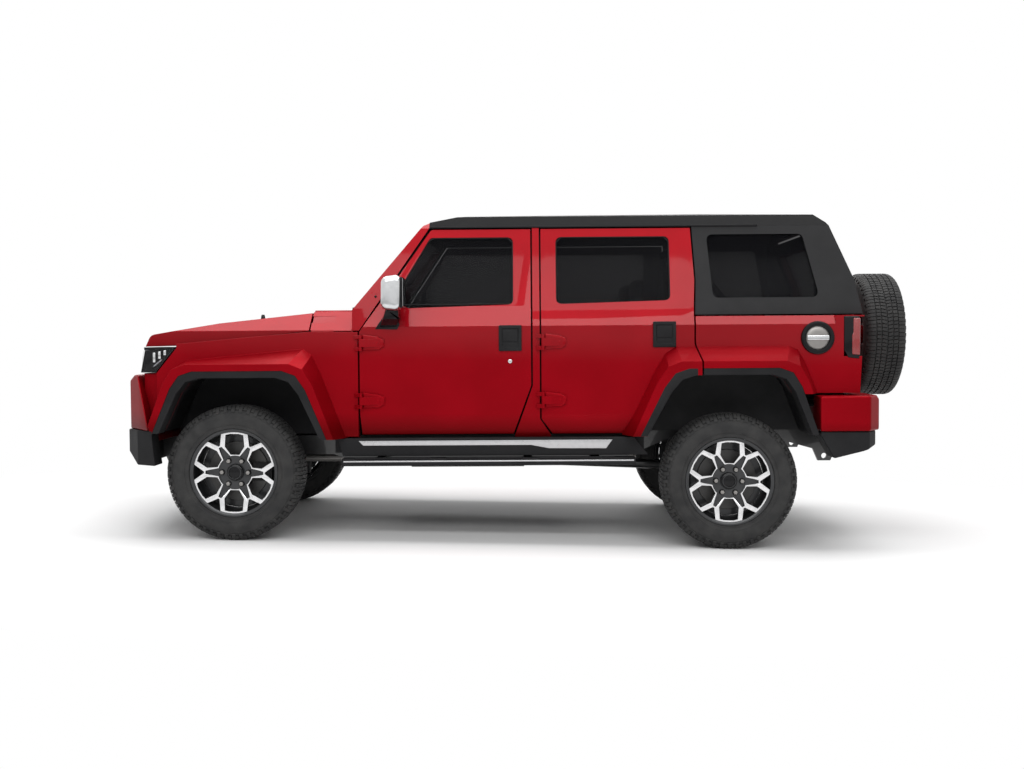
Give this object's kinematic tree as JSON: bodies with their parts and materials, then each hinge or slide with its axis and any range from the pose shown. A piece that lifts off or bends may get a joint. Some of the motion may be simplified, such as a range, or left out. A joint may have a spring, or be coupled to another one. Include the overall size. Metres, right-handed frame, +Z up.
{
  "type": "lifted off-road 4x4",
  "caption": "Lifted five-door off-road 4x4 with a ladder frame, hard top, flared arches, side steps and a spare wheel on its side-hinged tailgate.",
  "frame": {"origin": "on the ground below the middle of the vehicle's bounding box", "axes": "+X towards the rear, +Y towards the right side, +Z up; the front faces -X"},
  "size_m": [4.5604, 2.112, 1.898],
  "materials": {
    "body_paint": "gloss, crimson",
    "black_paint": "satin",
    "hardtop": "textured",
    "dark_trim": "textured",
    "gloss_black": "gloss",
    "silver": "satin",
    "tyre": "moulded",
    "rim": "machined on dark",
    "cast": "as cast",
    "engine": "cast",
    "pipe": "brushed",
    "glass": "dark tint",
    "lamp": "clear over chrome",
    "red_lens": "gloss",
    "fabric": "woven",
    "cabin": "grained",
    "core": "finned",
    "cap": "satin"
  },
  "bodies": {
    "root": {"chassis_frame": "black_paint", "front_suspension": "black_paint", "rear_axle": "cast", "body_shell": "body_paint", "front_fenders": "body_paint", "arch_trims": "dark_trim", "hardtop": "hardtop", "quarter_glass": "glass", "windscreen_frame": "body_paint", "windscreen_glass": "glass", "grille": "gloss_black", "headlamps": "lamp", "nose_panel": "body_paint", "radiator": "core", "front_bumper": "body_paint", "front_valance": "dark_trim", "rear_bumper": "body_paint", "rear_valance": "dark_trim", "tail_lamps": "red_lens", "fuel_filler": "cap", "sill_cladding": "dark_trim", "side_steps": "dark_trim", "powertrain": "engine", "fuel_tank": "gloss_black", "exhaust": "pipe", "rear_springs": "black_paint", "wheel_liners": "dark_trim", "seats": "fabric", "dashboard": "cabin", "roll_bar": "black_paint", "prop_shaft": "black_paint"},
    "steer_left": {"knuckle_front_left": "cast"},
    "steer_right": {"knuckle_front_right": "cast"},
    "wheel_front_left": {"tyre_front_left": "tyre", "rim_front_left": "rim"},
    "wheel_front_right": {"tyre_front_right": "tyre", "rim_front_right": "rim"},
    "wheel_rear_left": {"tyre_rear_left": "tyre", "rim_rear_left": "rim"},
    "wheel_rear_right": {"tyre_rear_right": "tyre", "rim_rear_right": "rim"},
    "front_left_door": {"door_front_left": "body_paint", "door_glass_front_left": "glass", "mirror_left": "silver"},
    "front_right_door": {"door_front_right": "body_paint", "door_glass_front_right": "glass", "mirror_right": "silver"},
    "rear_left_door": {"door_rear_left": "body_paint", "door_glass_rear_left": "glass"},
    "rear_right_door": {"door_rear_right": "body_paint", "door_glass_rear_right": "glass"},
    "tailgate_door": {"tailgate": "body_paint", "tailgate_glass": "glass", "spare_tyre": "tyre", "spare_rim": "rim"},
    "bonnet_lid": {"bonnet": "body_paint"},
    "steering": {"steering_wheel": "cabin"}
  },
  "joints": [
    {"name": "front_left_door_hinge", "type": "hinge", "parent": "root", "child": "front_left_door", "pos_m": [-0.91428, -0.872, 0.94597], "axis": [0.0227, 0, -0.9997], "range_deg": [0, 70]},
    {"name": "front_right_door_hinge", "type": "hinge", "parent": "root", "child": "front_right_door", "pos_m": [-0.91428, 0.872, 0.94597], "axis": [-0.0227, 0, 0.9997], "range_deg": [0, 70]},
    {"name": "rear_left_door_hinge", "type": "hinge", "parent": "root", "child": "rear_left_door", "pos_m": [0.09746, -0.872, 0.96893], "axis": [0.0227, 0, -0.9997], "range_deg": [0, 70]},
    {"name": "rear_right_door_hinge", "type": "hinge", "parent": "root", "child": "rear_right_door", "pos_m": [0.09746, 0.872, 0.96893], "axis": [-0.0227, 0, 0.9997], "range_deg": [0, 70]},
    {"name": "tailgate_hinge", "type": "hinge", "parent": "root", "child": "tailgate_door", "pos_m": [1.88037, 0.655, 1.16943], "axis": [-0.0227, 0, 0.9997], "range_deg": [0, 90]},
    {"name": "bonnet_hinge", "type": "hinge", "parent": "root", "child": "bonnet_lid", "pos_m": [-1.22376, 0, 1.27203], "axis": [0, 1, 0], "range_deg": [0, 55]},
    {"name": "steer_left_pivot", "type": "hinge", "parent": "root", "child": "steer_left", "pos_m": [-1.6075, -0.718, 0.3755], "axis": [0, 0, 1], "range_deg": [-32, 32]},
    {"name": "front_left_wheel_spin", "type": "hinge", "parent": "steer_left", "child": "wheel_front_left", "pos_m": [-1.6075, -0.8, 0.3755], "axis": [0, 1, 0], "continuous": true},
    {"name": "rear_left_wheel_spin", "type": "hinge", "parent": "root", "child": "wheel_rear_left", "pos_m": [1.1375, -0.8, 0.3755], "axis": [0, 1, 0], "continuous": true},
    {"name": "steer_right_pivot", "type": "hinge", "parent": "root", "child": "steer_right", "pos_m": [-1.6075, 0.718, 0.3755], "axis": [0, 0, 1], "range_deg": [-32, 32]},
    {"name": "front_right_wheel_spin", "type": "hinge", "parent": "steer_right", "child": "wheel_front_right", "pos_m": [-1.6075, 0.8, 0.3755], "axis": [0, 1, 0], "continuous": true},
    {"name": "rear_right_wheel_spin", "type": "hinge", "parent": "root", "child": "wheel_rear_right", "pos_m": [1.1375, 0.8, 0.3755], "axis": [0, 1, 0], "continuous": true},
    {"name": "steering_wheel_turn", "type": "hinge", "parent": "root", "child": "steering", "pos_m": [-0.49491, -0.375, 1.11053], "axis": [0.9041, 0, 0.4273], "range_deg": [-450, 450]}
  ],
  "couplings": [
    {"joint": "steer_right_pivot", "follows": "steer_left_pivot", "ratio": 1},
    {"joint": "steering_wheel_turn", "follows": "steer_left_pivot", "ratio": 14}
  ]
}
